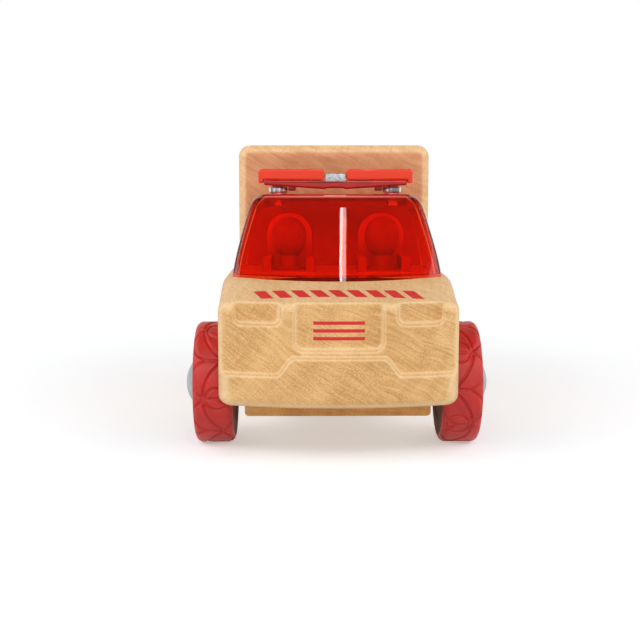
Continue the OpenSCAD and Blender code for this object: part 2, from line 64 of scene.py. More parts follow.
# Pockets: middle, half width, bottom, top, corner radius and fillet
NOSE_POCKETS = ((15.75, 4.65, 26.7, 34.0, 1.6, 1.1), (0.0, 8.75, 21.7, 34.0, 1.9, 1.5))
TAIL_POCKET = (15.6, 3.5, 22.0, 32.0, 1.6, 1.0)
POCKET_DEPTH = 1.5

# Wheels
AXLE_Z, ARCH_R = 12.5, 14.1
AXLE_Y = {"front": -35.0, "rear": 31.0}
CORNERS = [(end + "_" + hand, side, AXLE_Y[end]) for end in AXLE_Y for hand, side in HANDS]
TYRE_IN, TYRE_OUT, TYRE_R = 21.0, 29.0, 12.5
TYRE_SHOULDER, TYRE_LIP_R, TYRE_SEAT_R = 1.4, 11.35, 9.53
TREAD_REPEATS, TREAD_DEPTH, TREAD_HALF = 5, 0.4, 0.32
TREAD_TURN = {"front_left": 0.35, "front_right": -0.2, "rear_left": 0.9, "rear_right": 0.5}
CAP_R, DOME_R, DOME_DROP = 5.45, 7.0, 0.4

# Cab: half width, front and height of its sill and of its roof
SILL_HALF, SILL_Y, SILL_Z = 21.3, -40.6, 34.0
ROOF_HALF, ROOF_Y, ROOF_Z = 17.5, -29.2, 51.15
CAB_WALL, CAB_GAP, ROOF_SOFT = 1.2, 0.4, 3.0
TAB_X, TAB_YS = 20.3, (-29.5, -12.0)
TAB_HALF, TAB_LONG, TAB_DEEP, TAB_SPARE = 0.45, 1.5, 2.4, 0.06

# Light bar
BAR_Y, BAR_HALF = -17.0, 3.5
BAR_FRONT, BAR_BACK = BAR_Y - BAR_HALF, BAR_Y + BAR_HALF
FOOT_X, FOOT_HOLE_R = 12.5, 1.26


def srgb(r, g, b):
    """A colour given as 0-255 display values, as the linear values that shaders use."""
    def one(c):
        c /= 255.0
        return c / 12.92 if c <= 0.04045 else ((c + 0.055) / 1.055) ** 2.4
    return (one(r), one(g), one(b), 1.0)


def darker(colour, share):
    """The same colour at a share of its brightness."""
    return tuple(share * c for c in colour[:3]) + (1.0,)


# Materials
class Nodes:
    """Short calls that add nodes to the tree of a material or of the world."""

    def __init__(self, tree):
        self.tree = tree

    def node(self, kind, inputs=None, **settings):
        made = self.tree.nodes.new("ShaderNode" + kind)
        for key, value in settings.items():
            setattr(made, key, value)
        for key, value in (inputs or {}).items():
            self.put(made.inputs[key], value)
        return made

    def put(self, socket, value):
        """Links a socket to another one, or gives it a plain value."""
        if isinstance(value, bpy.types.NodeSocket):
            self.tree.links.new(value, socket)
        else:
            socket.default_value = value

    def math(self, operation, a, b=0.0, c=0.0):
        return self.node("Math", {0: a, 1: b, 2: c}, operation=operation).outputs[0]

    def product(self, *values):
        total = values[0]
        for value in values[1:]:
            total = self.math("MULTIPLY", total, value)
        return total

    def apart(self, value, middle):
        """How far a value is from a middle one."""
        return self.math("ABSOLUTE", self.math("SUBTRACT", value, middle))

    def step(self, value, low, high, start=0.0, stop=1.0):
        """A soft step from start, where the value is low, to stop, where it is high."""
        inputs = {0: value, 1: low, 2: high, 3: start, 4: stop}
        return self.node("MapRange", inputs, interpolation_type="SMOOTHSTEP").outputs[0]

    def below(self, value, low, high):
        """1 up to low and 0 from high on."""
        return self.math("SUBTRACT", 1.0, self.step(value, low, high))

    def vector(self, operation, a, b=(0.0, 0.0, 0.0)):
        made = self.node("VectorMath", {0: a, 1: b}, operation=operation)
        return made.outputs["Value" if operation == "LENGTH" else "Vector"]

    def scaled(self, vector, x, y, z):
        return self.vector("MULTIPLY", vector, (x, y, z))

    def split(self, vector):
        return self.node("SeparateXYZ", {0: vector}).outputs

    def join(self, x, y, z):
        return self.node("CombineXYZ", {0: x, 1: y, 2: z}).outputs[0]

    def noise(self, vector, scale=1.0, detail=1.0, rough=0.5):
        inputs = {"Vector": vector, "Scale": scale, "Detail": detail, "Roughness": rough}
        return self.node("TexNoise", inputs).outputs

    def mix(self, factor, a, b):
        """A colour between a and b."""
        made = self.node("Mix", data_type="RGBA")
        self.put(made.inputs["Factor"], factor)
        self.put(made.inputs["A"], a)
        self.put(made.inputs["B"], b)
        return made.outputs["Result"]

    def blend(self, factor, a, b):
        """A shader between the shader nodes a and b."""
        return self.node("MixShader", {0: factor, 1: a.outputs[0], 2: b.outputs[0]})

    def place(self):
        """The point being shaded, in millimetres of the piece's own frame."""
        return self.scaled(self.node("TexCoord").outputs["Object"], 1000.0, 1000.0, 1000.0)

    def normal(self):
        return self.split(self.node("NewGeometry").outputs["Normal"])

    def seen(self):
        """1 for rays from the camera and for those that mirror off or pass through a surface."""
        rays = self.node("LightPath").outputs
        indirect = self.math("MAXIMUM", rays["Is Glossy Ray"], rays["Is Transmission Ray"])
        return self.math("MAXIMUM", rays["Is Camera Ray"], indirect)


class Shader(Nodes):
    """A material with a Principled surface, whose sockets are set by name."""

    def __init__(self, name, **sockets):
        self.material = bpy.data.materials.new(name)
        self.material.use_nodes = True
        super().__init__(self.material.node_tree)
        self.surface = self.tree.nodes["Principled BSDF"]
        for socket, value in sockets.items():
            self.set(socket.replace("_", " "), value)

    def set(self, socket, value):
        self.put(self.surface.inputs[socket], value)

    def bump(self, height, strength, distance):
        made = self.node("Bump", {"Height": height, "Strength": strength, "Distance": distance * MM})
        self.set("Normal", made.outputs[0])


def wood(name, pith, ring, side, end, fan=80.0, rim=(0.7, 0.985), pale=None, red_print=False):
    """Pale hardwood with its fibres along Y: growth rings round a pith line at (x, z), rays across them
    and fine pores. ring is the width of the rings' bands, and fan says how close the rays are. side and end
    are the pale and the deep colour of the long grain and of the end grain, which meet where the surface
    turns between the two values of rim. pale is the colour of routed edges in the end grain: partly their
    own paler tone, and partly a painted highlight for the light that the rounded edges catch."""
    s = Shader(name, Roughness=0.55, IOR=1.45)
    p = s.place()
    x, y, z = s.split(p)
    normal = s.normal()
    facing = s.math("ABSOLUTE", normal[1])
    end_grain = s.step(facing, *rim)
    drift = s.noise(s.scaled(p, 0.07, 0.012, 0.07), detail=2.0)["Color"]
    wander = s.scaled(s.vector("SUBTRACT", drift, (0.5, 0.5, 0.5)), 6.0, 0.0, 6.0)
    bent = s.vector("ADD", p, wander)
    from_pith = s.scaled(s.vector("SUBTRACT", bent, (pith[0], 0.0, pith[1])), 1.0, 0.0, 1.0)
    radius = s.vector("LENGTH", from_pith)
    across = s.split(from_pith)
    angle = s.math("ARCTAN2", across[2], across[0])
    along = s.math("MULTIPLY", y, 0.006)
    bands = s.noise(s.join(s.math("DIVIDE", radius, ring), along, 0.0))["Fac"]
    lines = s.noise(s.join(s.math("DIVIDE", radius, 0.13 * ring), along, 3.0))["Fac"]
    outwards, lengthways = s.math("MULTIPLY", radius, 0.16), s.math("MULTIPLY", y, 0.3)
    rays = s.noise(s.join(s.math("MULTIPLY", angle, fan), outwards, lengthways), detail=2.0)["Fac"]
    pores = s.noise(s.scaled(p, 4.6, 0.2, 4.6), rough=0.6)["Fac"]
    specks = s.noise(s.scaled(p, 2.2, 0.14, 2.2))["Fac"]
    cloud = s.noise(s.scaled(p, 0.1, 0.02, 0.1), detail=2.0)["Fac"]
    line_weight = s.math("MULTIPLY_ADD", end_grain, -0.5, 0.8)
    tone = 0.5
    for value, weight in ((bands, 0.7), (lines, line_weight), (rays, 1.3), (pores, 1.4), (cloud, 0.4)):
        tone = s.math("ADD", tone, s.math("MULTIPLY", s.math("SUBTRACT", value, 0.5), weight))
    tone = s.step(tone, -0.1, 1.1)
    colour = s.mix(end_grain, s.mix(tone, *side), s.mix(tone, *end))
    if pale:
        # Routed edges turn pale: partly the cut grain's own tone, partly a painted highlight on the rounded
        # edges.
        edge = s.product(s.step(facing, 0.3, 0.75), s.below(facing, 0.75, 0.99), 0.42)
        colour = s.mix(edge, colour, pale)
    speckle = s.math("MULTIPLY", s.step(specks, 0.62, 0.74), 0.2)
    colour = s.mix(speckle, colour, darker(end[1], 0.6))
    if red_print:
        colour = s.mix(front_print(s, x, y, z, normal), colour, srgb(206, 38, 36))
    s.set("Base Color", colour)
    s.bump(s.math("ADD", pores, s.math("MULTIPLY", rays, 0.5)), 0.2, 0.1)
    return s.material


def front_print(s, x, y, z, normal):
    """Plain red marks: a row of slanted bars on the bonnet, and level slats in the grille pocket."""
    row_y, row_half, row_reach, row_soft = -48.2, 2.1, 16.35, 0.1
    lean, pitch = 0.42, 3.66
    slant = s.math("ADD", x, s.math("MULTIPLY_ADD", y, lean, -lean * row_y))
    saw = s.apart(s.math("FRACT", s.math("MULTIPLY_ADD", slant, 1 / pitch, 0.5)), 0.5)
    bars = s.product(
        s.below(saw, 0.315, 0.34),
        s.below(s.apart(y, row_y), row_half, row_half + row_soft),
        s.below(s.math("ABSOLUTE", slant), row_reach, row_reach + row_soft),
        s.step(normal[2], 0.6, 0.7),
    )
    slats_z, slat_pitch, slats_half, slats_soft = 25.65, 1.5, 2.2, 0.05
    lowest = slats_z - 1.5 * slat_pitch
    level = s.apart(s.math("FRACT", s.math("DIVIDE", s.math("SUBTRACT", z, lowest), slat_pitch)), 0.5)
    slats = s.product(
        s.below(level, 0.2, 0.25),
        s.below(s.apart(z, slats_z), slats_half, slats_half + slats_soft),
        s.below(s.math("ABSOLUTE", x), 4.9, 5.0),
        s.step(s.math("MULTIPLY", normal[1], -1.0), 0.8, 0.9),
    )
    return s.math("MAXIMUM", bars, slats)


def clear_plastic(name, colour, rough, transmission, lamps=None, flank=None, low=None):
    """Tinted see-through plastic. lamps is the tint of the lamps' light that passes each of its faces,
    flank a painted shade on the sides, a deeper colour that stands for their being seen through more of the
    plastic, and low is the colour below a height, as (start, end, colour)."""
    s = Shader(name, Base_Color=colour, Roughness=rough, IOR=1.47, Transmission_Weight=transmission)
    if low:
        start, end, low_colour = low
        colour = s.mix(s.step(s.split(s.place())[2], start, end), low_colour, colour)
    if flank:
        # Painted shade: surfaces facing sideways turn to the deeper flank colour.
        side_shade_mask = s.step(s.math("ABSOLUTE", s.normal()[0]), 0.25, 0.85)
        colour = s.mix(side_shade_mask, colour, flank)
    s.set("Base Color", colour)
    flow = s.noise(s.scaled(s.place(), 0.12, 0.12, 0.12))["Fac"]
    s.bump(flow, 0.05, 0.3)
    if lamps:
        clear = s.node("BsdfTransparent", {"Color": lamps})
        passed = s.blend(s.node("LightPath").outputs["Is Shadow Ray"], s.surface, clear)
        s.put(s.tree.nodes["Material Output"].inputs["Surface"], passed.outputs[0])
    return s.material


def moulded(name, colour, rough, grain=0.06, metallic=0.0, ior=1.48):
    """Moulded plastic or rubber: an even colour with slight mottling and a fine grain."""
    s = Shader(name, Roughness=rough, Metallic=metallic, IOR=ior)
    p = s.place()
    cloud = s.noise(p, 0.35, 3.0)["Fac"]
    s.set("Base Color", s.mix(s.step(cloud, 0.35, 0.7), colour, darker(colour, 0.8)))
    fine = s.noise(p, 7.0, 3.0, 0.6)["Fac"]
    s.set("Roughness", s.math("MULTIPLY_ADD", fine, 0.16, rough - 0.08))
    s.bump(fine, grain, 0.1)
    return s.material


def metal(name, colour, rough, stretch=(1.0, 1.0, 1.0), low=0.86, metallic=1.0, span=None):
    """Metal or metal paint, streaked down to a share of its brightness, low. stretch sets the streaking's
    scale along each axis, and span the values between which it turns from bright to dark. Where it is long
    and sharp, the streaking is painted reflection: bright and dark bands like those a polished disc mirrors."""
    s = Shader(name, Roughness=rough, Metallic=metallic)
    fine = s.noise(s.scaled(s.place(), *stretch), 6.0, 3.0)["Fac"]
    # Where span sharpens it into long upright bands, this is painted reflection; otherwise it is a fine
    # grain.
    streaks_and_reflections = s.step(fine, *span) if span else fine
    s.set("Base Color", s.mix(streaks_and_reflections, colour, darker(colour, low)))
    s.set("Roughness", s.math("MULTIPLY_ADD", fine, 0.2, rough - 0.1))
    return s.material


MATERIALS = {
    "block": wood(
        "front_block_wood", pith=(-75.0, 62.0), ring=4.4,
        side=(srgb(228, 191, 142), srgb(210, 168, 114)), end=(srgb(232, 188, 128), srgb(192, 142, 82)),
        # The pale colour on the routed edges is partly a painted highlight.
        fan=280.0, pale=srgb(243, 210, 160), red_print=True,
    ),
    "box": wood(
        "rear_box_wood", pith=(-58.0, 88.0), ring=5.0,
        side=(srgb(240, 202, 154), srgb(220, 168, 116)), end=(srgb(225, 165, 119), srgb(192, 126, 82)),
        rim=(0.85, 0.99),
    ),
    "plank": wood(
        "plank_wood", pith=(-70.0, 14.0), ring=3.0,
        side=(srgb(226, 184, 128), srgb(196, 146, 88)), end=(srgb(236, 180, 106), srgb(194, 132, 64)),
    ),
    "clear_red": clear_plastic(
        "clear_red_plastic", (1.0, 0.12, 0.035, 1.0), rough=0.02, transmission=0.97,
        lamps=(0.9, 0.14, 0.05, 1.0),
    ),
    "seat_red": clear_plastic(
        "seat_red_plastic", (1.0, 0.3, 0.2, 1.0), rough=0.03, transmission=0.55,
        # The flank colour is painted shade on the seats' sides.
        lamps=(0.92, 0.3, 0.2, 1.0), flank=(0.3, 0.01, 0.0, 1.0), low=(37.5, 42.0, (0.72, 0.1, 0.05, 1.0)),
    ),
    "peg_red": clear_plastic("peg_red_plastic", (0.44, 0.022, 0.012, 1.0), rough=0.2, transmission=0.12),
    "lens": clear_plastic("lens_red_plastic", (1.0, 0.055, 0.006, 1.0), rough=0.08, transmission=0.35),
    "plate": moulded("dark_red_plastic", srgb(186, 36, 30), rough=0.14),
    "tyre": moulded("red_rubber", srgb(200, 38, 30), rough=0.46, grain=0.12),
    "hub": moulded("hub_plastic", srgb(132, 92, 70), rough=0.7, ior=1.15),
    "silver": moulded("silver_plastic", srgb(176, 179, 182), rough=0.34, grain=0.03, metallic=0.55),
    # The feet's sharp upright bright and dark bands are painted reflections of a polished metal disc.
    "bright": metal(
        "bright_metal", srgb(248, 244, 246), rough=0.2,
        stretch=(0.17, 0.17, 0.004), low=0.26, metallic=0.6, span=(0.42, 0.6),
    ),
    "bar_silver": metal(
        "bar_silver_metal", srgb(206, 210, 214), rough=0.3,
        stretch=(0.33, 0.33, 0.33), low=0.5, metallic=0.6, span=(0.35, 0.65),
    ),
    "steel": metal("zinc_steel", srgb(186, 187, 190), rough=0.32),
}


# Meshes
def add_piece(name, verts, faces, material, body, slot, node, sharp=35.0):
    """Makes a piece from millimetre points, lets it ride on a body and stand for a CAD node."""
    finish_piece(name, metre_mesh(name, verts, faces), material, body, node, sharp)


def metre_mesh(name, verts, faces):
    """A mesh, in metres, from millimetre points."""
    mesh = bpy.data.meshes.new(name)
    mesh.from_pydata((np.asarray(verts, float) * MM).tolist(), [], faces)
    mesh.update()
    return mesh


def finish_piece(name, mesh, material, body, node, sharp):
    """Gives a mesh its material and smooth shading up to the angle sharp, and makes it a piece."""
    mesh.materials.clear()
    mesh.materials.append(MATERIALS[material])
    mesh.polygons.foreach_set("use_smooth", [True] * len(mesh.polygons))
    mesh.set_sharp_from_angle(angle=math.radians(sharp))
    obj = bpy.data.objects.new(name, mesh)
    bpy.context.scene.collection.objects.link(obj)
    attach(obj, body)
    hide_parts(node)


def bevelled(name, node, width, material, body, segments=3):
    """A piece with a CAD node's shape and soft edges."""
    bend_angle, merge, flat_angle = math.radians(28), 0.002 * MM, math.radians(1.0)
    bm = bmesh.new()
    bm.from_mesh(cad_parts[node].data)
    bmesh.ops.remove_doubles(bm, verts=bm.verts, dist=merge)
    bmesh.ops.dissolve_limit(bm, angle_limit=flat_angle, verts=bm.verts, edges=bm.edges)
    edges = [e for e in bm.edges if len(e.link_faces) == 2 and e.calc_face_angle(0.0) > bend_angle]
    bmesh.ops.bevel(bm, geom=edges, offset=width * MM, offset_type="OFFSET", segments=segments, profile=0.5,
                    affect="EDGES", clamp_overlap=True, harden_normals=False)
    mesh = bpy.data.meshes.new(name)
    bm.to_mesh(mesh)
    bm.free()
    finish_piece(name, mesh, material, body, node, 40.0)


def grid_faces(rows, n, wrap_rows=False, wrap_columns=True):
    """Quads between neighbouring rows of n points each. What wraps joins its last line to its first."""
    quads = []
    for k in range(rows if wrap_rows else rows - 1):
        m = (k + 1) % rows
        for i in range(n if wrap_columns else n - 1):
            j = (i + 1) % n
            quads.append((k * n + i, k * n + j, m * n + j, m * n + i))
    return quads


def flipped(faces):
    """The same faces, looking the other way."""
    return [face[::-1] for face in faces]


def joined(*parts):
    """Several lots of points and faces as one."""
    verts, faces = [], []
    for points, sides in parts:
        faces += [tuple(i + len(verts) for i in side) for side in sides]
        verts += list(points)
    return verts, faces


def full_turn(count):
    """Evenly spaced angles, once round."""
    return [2 * math.pi * k / count for k in range(count)]


def arc(cx, cy, radius, start, end, count):
    """Points of a circular arc between two angles."""
    return [(cx + radius * math.cos(a), cy + radius * math.sin(a)) for a in np.linspace(start, end, count)]


def bend(start, corner, end, t):
    """A point on the curve that leaves start and reaches end along the lines to a corner."""
    return (1 - t) ** 2 * start + 2 * t * (1 - t) * corner + t * t * end


def spun(name, profile, segments, axle, side, material, body, node, closed=True):
    """A piece turned about an axle: profile is (radius, distance from the toy's middle)."""
    turns = full_turn(segments)
    verts = [(side * x, axle + r * math.cos(a), AXLE_Z + r * math.sin(a)) for a in turns for r, x in profile]
    faces = grid_faces(segments, len(profile), wrap_rows=True, wrap_columns=closed)
    mesh = metre_mesh(name, verts, faces if side > 0 else flipped(faces))
    bm = bmesh.new()
    bm.from_mesh(mesh)
    bmesh.ops.remove_doubles(bm, verts=bm.verts, dist=0.001 * MM)
    bmesh.ops.recalc_face_normals(bm, faces=bm.faces)
    bm.to_mesh(mesh)
    bm.free()
    finish_piece(name, mesh, material, body, node, 35.0)


def turned(cx, cy, outline, count=40):
    """Points and faces turned about an upright line: outline is (radius, height), from foot to top."""
    turns = full_turn(count)
    verts = [(cx + r * math.cos(a), cy + r * math.sin(a), z) for a in turns for r, z in outline]
    return verts, flipped(grid_faces(count, len(outline), wrap_rows=True, wrap_columns=False))


def rounded_path(points, radius, steps):
    """A closed outline of (a, b) points with every corner rounded."""
    out, n = [], len(points)
    for i in range(n):
        p0, p1, p2 = (np.array(points[(i + k) % n], float) for k in (-1, 0, 1))
        d0, d1 = p0 - p1, p2 - p1
        cut_back = min(radius, 0.45 * np.linalg.norm(d0), 0.45 * np.linalg.norm(d1))
        a = p1 + d0 / np.linalg.norm(d0) * cut_back
        b = p1 + d1 / np.linalg.norm(d1) * cut_back
        out += [tuple(bend(a, p1, b, k / steps)) for k in range(steps + 1)]
    return out


def soft_prism(outline, y0, y1, edge, radius):
    """Points and faces of an (x, z) outline, given anticlockwise, from y0 to y1 with rounded edges."""
    path = np.array(rounded_path(outline, radius, 5))
    run = np.roll(path, -1, 0) - np.roll(path, 1, 0)
    run /= np.linalg.norm(run, axis=1)[:, None]
    inward = np.column_stack([-run[:, 1], run[:, 0]])
    quarter = np.linspace(0, math.pi / 2, 5)
    rings = [(edge * (1 - math.sin(a)), y0 + edge * (1 - math.cos(a))) for a in quarter]
    rings += [(inset, y0 + y1 - y) for inset, y in reversed(rings)]
    verts = [(x, y, z) for inset, y in rings for x, z in path + inward * inset]
    n = len(path)
    last = (len(rings) - 1) * n
    faces = grid_faces(len(rings), n) + [tuple(range(n))[::-1], tuple(range(last, last + n))]
    return verts, flipped(faces)


def soft_box(x0, x1, z0, z1, half, edge, radius):
    """A soft_prism with a rectangle for its outline, half as deep to each side of the light bar's middle."""
    return soft_prism([(x0, z0), (x1, z0), (x1, z1), (x0, z1)], BAR_Y - half, BAR_Y + half, edge, radius)


# Distance fields: negative inside, with joins between shapes that are rounded by r
def both(a, b, r):
    return np.minimum(-r, np.maximum(a, b)) + np.hypot(np.maximum(a + r, 0), np.maximum(b + r, 0))


def cut(a, b, r):
    return both(a, -b, r)


def slab(value, middle, half):
    return np.abs(value - middle) - half


def smooth(t):
    t = np.clip(t, 0, 1)
    return t * t * (3 - 2 * t)


def pocket_outline(x, z, middle, half, low, high, r):
    """A rounded rectangle across X and Z, on both sides of the toy's middle."""
    qx = slab(np.abs(x), middle, half) + r
    qz = slab(z, (low + high) / 2, (high - low) / 2) + r
    return np.hypot(np.maximum(qx, 0), np.maximum(qz, 0)) + np.minimum(np.maximum(qx, qz), 0) - r


def bonnet_height(x, y):
    """Height of the bonnet and deck, with a soft bend between them. The bonnet follows the round nose, and
    turns to a plane on its way to the windscreen."""
    flat_start, flat_run, softness = 2.0, 11.0, 0.25
    back = PANEL_R - np.hypot(x, y - NOSE_Y)
    back = back + (y - NOSE_Y + PANEL_R - back) * smooth((back - flat_start) / flat_run)
    slope = BONNET_Z + back * SLOPE
    return DECK_Z - np.logaddexp(0.0, (DECK_Z - slope) / softness) * softness


def chassis_cuts(f, x, y, z, arch_y):
    """A block with the plank's channel and a pair of wheel arches cut from below."""
    beside = np.maximum(np.abs(x) - PLANK_HALF - PLANK_SPARE, z - PLANK_TOP)
    beyond = np.maximum(PLANK_Y - PLANK_SPARE - y, y - PLANK_END - PLANK_SPARE)
    f = cut(f, np.maximum(beside, beyond), 0.25)
    arch = np.maximum(np.hypot(y - arch_y, z - AXLE_Z) - ARCH_R, PLANK_HALF - np.abs(x))
    return cut(f, arch, 0.5)


def front_block_field(x, y, z):
    """The block with its bumper's step, pockets, bonnet and deck, and the slots for the canopy's tabs.
    A face that leans is nearer than its height says, so its height is scaled to give a distance."""
    step_steepness, bonnet_scale = 0.9, 0.985
    wide = np.abs(x)
    nose = np.hypot(x, y - NOSE_Y)
    plan = both(wide - BLOCK_HALF, nose - NOSE_R, 3.0)
    f = both(plan, SKIRT_Z - NOSE_DROP * smooth((DROP_Y - y) / DROP_RUN) - z, 1.9)
    step = BUMPER_Z + STEP_RISE * smooth((STEP_OUT - wide) / STEP_RUN)
    on_slope = (wide > STEP_OUT - STEP_RUN) & (wide < STEP_OUT)
    step_scale = 1.0 / np.sqrt(1.0 + np.where(on_slope, step_steepness, 0.0))
    f = cut(f, both((step - z) * step_scale, PANEL_R - nose, 0.75), 0.7)
    f = both(f, (z - bonnet_height(x, y)) * bonnet_scale, 1.9)
    for middle, half, low, high, r, fillet in NOSE_POCKETS:
        outline = pocket_outline(x, z, middle, half, low, high, r)
        f = cut(f, both(outline, PANEL_R - POCKET_DEPTH - nose, fillet), 0.55)
    f = both(f, y - BOX_Y, 0.3)
    for tab_y in TAB_YS:
        mouth = np.maximum(slab(wide, TAB_X, TAB_HALF + TAB_SPARE), slab(y, tab_y, TAB_LONG + TAB_SPARE))
        f = cut(f, np.maximum(mouth, DECK_Z - TAB_DEEP - TAB_SPARE - z), 0.1)
    return chassis_cuts(f, x, y, z, AXLE_Y["front"])


def rear_box_field(x, y, z):
    """The box with round edges and two shallow pockets in its tail."""
    qx = np.abs(x) - BOX_HALF + BOX_EDGE
    qy = slab(y, (BOX_Y + BACK_Y) / 2, (BACK_Y - BOX_Y) / 2) + BOX_EDGE
    qz = slab(z, (SKIRT_Z + BOX_TOP) / 2, (BOX_TOP - SKIRT_Z) / 2) + BOX_EDGE
    out = np.sqrt(sum(np.maximum(q, 0) ** 2 for q in (qx, qy, qz)))
    f = out + np.minimum(np.maximum(np.maximum(qx, qy), qz), 0) - BOX_EDGE
    *rectangle, fillet = TAIL_POCKET
    outline = pocket_outline(x, z, *rectangle)
    f = cut(f, both(outline, BACK_Y - POCKET_DEPTH - y, fillet), 0.5)
    return chassis_cuts(f, x, y, z, AXLE_Y["rear"])


def axis_steps(*spans):
    """Grid lines from spans of (start, end, step)."""
    lines = [np.arange(a, b, s) for a, b, s in spans]
    return np.unique(np.round(np.concatenate(lines + [[spans[-1][1]]]), 5))


def cell_points(f, cells, lines):
    """The mean of the places where a field changes sign on the edges of each grid cell."""
    total, count = np.zeros((len(cells), 3)), np.zeros(len(cells))
    for axis in range(3):
        u, v = (a for a in range(3) if a != axis)
        for i, j in ((0, 0), (0, 1), (1, 0), (1, 1)):
            low = cells.copy()
            low[:, u] += i
            low[:, v] += j
            high = low + np.eye(3, dtype=int)[axis]
            a, b = f[tuple(low.T)], f[tuple(high.T)]
            hit = (a < 0) != (b < 0)
            t = np.where(hit, a / np.where(hit, a - b, 1.0), 0.0)
            p = np.stack([lines[c][low[:, c]] for c in range(3)], 1)
            p[:, axis] += t * (lines[axis][high[:, axis]] - lines[axis][low[:, axis]])
            total += p * hit[:, None]
            count += hit
    return total / count[:, None]


def drawn_on(field, verts):
    """The points moved on to the zero level of a field, by three steps down its slope."""
    reach, least_slope, longest = 0.01, 0.25, 0.25
    for _ in range(3):
        value = field(*verts.T)
        sides = [(verts + move, verts - move) for move in reach * np.eye(3)]
        grad = np.stack([field(*ahead.T) - field(*behind.T) for ahead, behind in sides], 1) / (2 * reach)
        size = np.maximum((grad ** 2).sum(1), least_slope)
        verts = verts - np.clip(grad * (value / size)[:, None], -longest, longest)
    return verts


def crossing_quads(inside, number):
    """A quad through the four cells round each grid edge that passes the surface."""
    faces = []
    for axis in range(3):
        u, v = (axis + 1) % 3, (axis + 2) % 3
        low, high = [slice(None)] * 3, [slice(None)] * 3
        low[axis], high[axis] = slice(0, -1), slice(1, None)
        edge = np.argwhere(inside[tuple(low)] != inside[tuple(high)])
        for side in (u, v):
            edge = edge[(edge[:, side] > 0) & (edge[:, side] < inside.shape[side] - 1)]
        quad = []
        for du, dv in ((-1, -1), (0, -1), (0, 0), (-1, 0)):
            cell = edge.copy()
            cell[:, u] += du
            cell[:, v] += dv
            quad.append(number[tuple(cell.T)])
        quad = np.stack(quad, 1)
        entering = ~inside[tuple(edge.T)]
        quad[entering] = quad[entering][:, ::-1]
        faces.append(quad)
    return np.concatenate(faces).tolist()


def surface_mesh(field, xs, ys, zs):
    """Quads on the zero level of a field, one point per grid cell, drawn on to the exact surface."""
    f = field(xs[:, None, None], ys[None, :, None], zs[None, None, :])
    inside = f < 0
    shape = tuple(n - 1 for n in f.shape)
    corners = sum(
        inside[i:i + shape[0], j:j + shape[1], k:k + shape[2]].astype(np.int8)
        for i in (0, 1) for j in (0, 1) for k in (0, 1)
    )
    cells = np.argwhere((corners > 0) & (corners < 8))
    number = -np.ones(shape, int)
    number[tuple(cells.T)] = np.arange(len(cells))
    verts = drawn_on(field, cell_points(f, cells, (xs, ys, zs)))
    return verts, crossing_quads(inside, number)


# Wooden blocks
block = surface_mesh(
    front_block_field,
    axis_steps((-24.0, 24.0, 0.32)),
    axis_steps((-57.6, -50.5, 0.26), (-50.5, -5.4, 0.62), (-5.4, -4.4, 0.25)),
    axis_steps((10.7, 35.6, 0.3)),
)
add_piece("front_block_wood", *block, "block", "body", "wood_block", "front_block", sharp=60.0)
box = surface_mesh(
    rear_box_field,
    axis_steps((-22.6, -11.0, 0.45), (-11.0, 11.0, 1.0), (11.0, 22.6, 0.45)),
    axis_steps((-5.6, -1.6, 0.4), (-1.6, 14.0, 1.0), (14.0, 50.0, 0.6), (50.0, 57.6, 0.4)),
    axis_steps((10.6, 34.0, 0.45), (34.0, 58.6, 1.2), (58.6, 62.6, 0.4)),
)
add_piece("rear_box_wood", *box, "box", "body", "wood_block", "rear_box", sharp=60.0)
bevelled("chassis_plank_wood", "chassis_plank", 0.35, "plank", "body")


# Cab
def cab_outline(half, front, rear, corner, rear_corner):
    """One level of the canopy: a shallow arc in front, round corner posts, straight sides and back."""
    cy = front + NOSE_R
    start, quarter = -math.pi / 2, math.pi / 2
    post = math.asin((half - corner) / (NOSE_R - corner)) - quarter
    post_y = cy - math.sqrt((NOSE_R - corner) ** 2 - (half - corner) ** 2)
    straight, rear_y = half - rear_corner, rear - rear_corner
    right = arc(0.0, cy, NOSE_R, start, post, 20)
    right += arc(half - corner, post_y, corner, post, 0, 10)[1:]
    right += [(half, y) for y in np.linspace(post_y, rear_y, 16)[1:]]
    right += arc(straight, rear_y, rear_corner, 0, quarter, 6)[1:]
    right += [(x, rear) for x in np.linspace(straight, 0, 10)[1:]]
    return right + [(-x, y) for x, y in right[-2:0:-1]]


def cab_levels(inset):
    """Levels of (half width, front, back, height) from the sill, which takes its height from the bonnet,
    to the roof's flat middle. A wall that leans takes more room along a level than it is thick."""
    side_inset, front_inset = 1.03 * inset, 1.24 * inset
    side_flare, front_flare = 0.04, 0.12
    foot_half, foot_y = SILL_HALF - side_inset, SILL_Y + front_inset
    head_half, head_y, head_z = ROOF_HALF - side_inset, ROOF_Y + front_inset, ROOF_Z - inset
    rear = BOX_Y - CAB_GAP - inset
    levels = [(foot_half + side_flare, foot_y - front_flare, rear, None)]
    for t in np.linspace(0.06, 1.0 - ROOF_SOFT / (head_z - SILL_Z), 14):
        side_bulge = 0.55 * math.sin(math.pi * t ** 0.6)
        front_bulge = 0.12 * math.sin(math.pi * t)
        half = foot_half + (head_half - foot_half) * t + side_bulge
        front = foot_y + (head_y - foot_y) * t - front_bulge
        levels.append((half, front, rear, SILL_Z + (head_z - SILL_Z) * t))
    half, front, _, z = levels[-1]
    for t in np.linspace(0, 1, 9)[1:]:
        levels.append((
            bend(half, head_half, head_half - ROOF_SOFT, t),
            bend(front, head_y, head_y + 1.25 * ROOF_SOFT, t),
            rear - 0.5 * t * t,
            bend(z, head_z, head_z, t),
        ))
    return levels


